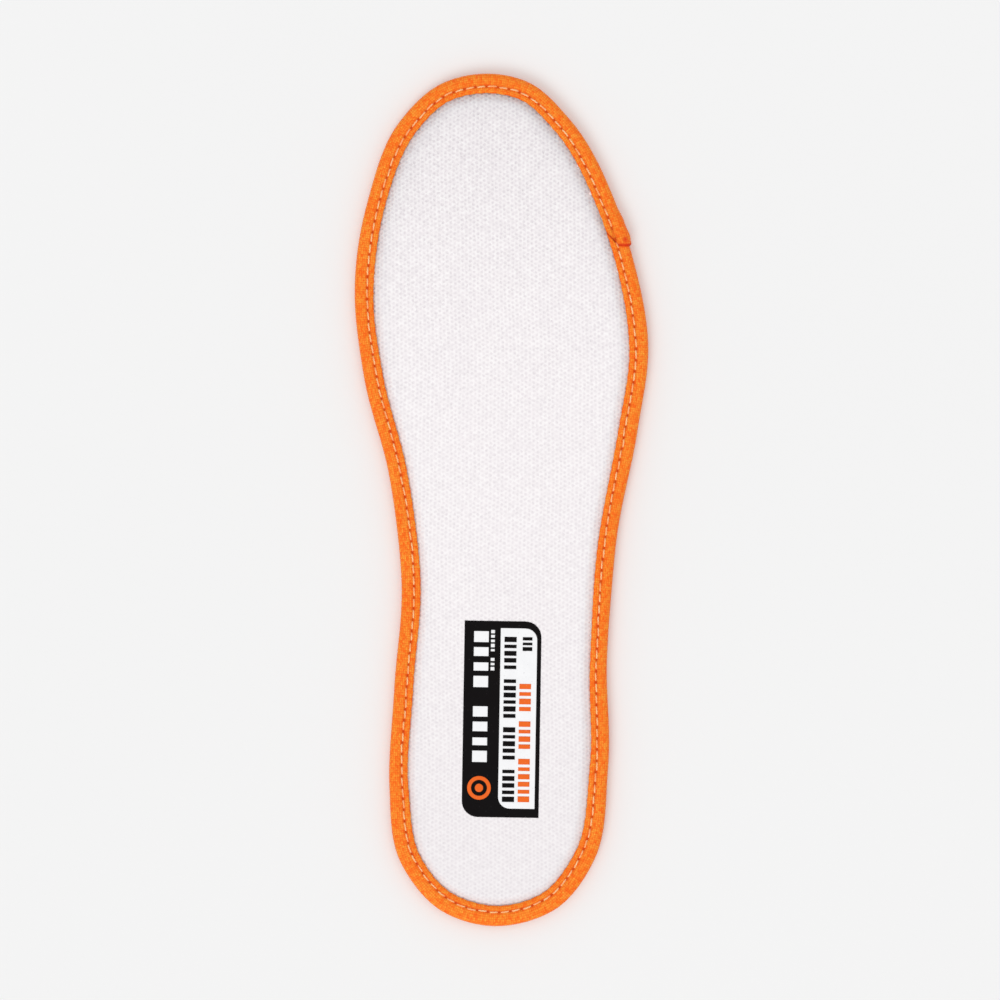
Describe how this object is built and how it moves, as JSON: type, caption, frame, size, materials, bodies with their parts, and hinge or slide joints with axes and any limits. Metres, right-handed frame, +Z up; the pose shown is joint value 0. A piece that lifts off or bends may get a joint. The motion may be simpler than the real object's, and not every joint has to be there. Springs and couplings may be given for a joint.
{
  "type": "cushioned insole",
  "caption": "Flat cushioned work-shoe insole, right foot: air-mesh cover, foam, puncture-resistant woven plies and lining inside a stitched orange edge tape; flexes at the toe break.",
  "frame": {"origin": "on the floor plane at the middle of the insole's bounding box seen from above", "axes": "+Y towards the toes, +X towards the little toe, +Z up from the lining to the foot bed"},
  "size_m": [0.0918, 0.2666, 0.0062],
  "materials": {
    "lining_felt": "matte",
    "ply_cloth": "matte",
    "cushion_foam": "matte",
    "air_mesh": "matte",
    "edge_tape": "matte",
    "thread": "satin",
    "ink_black": "matte",
    "ink_white": "matte",
    "ink_orange": "matte"
  },
  "bodies": {
    "rearfoot": {"lining_rear": "lining_felt", "ply_1_rear": "ply_cloth", "ply_2_rear": "ply_cloth", "ply_3_rear": "ply_cloth", "ply_4_rear": "ply_cloth", "foam_rear": "cushion_foam", "mesh_rear": "air_mesh", "tape_rear": "edge_tape", "needle_thread_rear": "thread", "bobbin_thread_rear": "thread", "label_base": "ink_black", "label_panel": "ink_white", "label_emblem": "ink_orange", "label_bars_white": "ink_white", "label_bars_black": "ink_black", "label_bars_orange": "ink_orange"},
    "forefoot": {"lining_fore": "lining_felt", "ply_1_fore": "ply_cloth", "ply_2_fore": "ply_cloth", "ply_3_fore": "ply_cloth", "ply_4_fore": "ply_cloth", "foam_fore": "cushion_foam", "mesh_fore": "air_mesh", "tape_fore": "edge_tape", "needle_thread_fore": "thread", "bobbin_thread_fore": "thread"}
  },
  "joints": [
    {"name": "toe_flex", "type": "hinge", "parent": "rearfoot", "child": "forefoot", "pos_m": [0, 0.04865, 0.0062], "axis": [0.9674, -0.2532, 0], "range_deg": [0, 50], "stiffness_Nm_per_rad": 0.4}
  ]
}
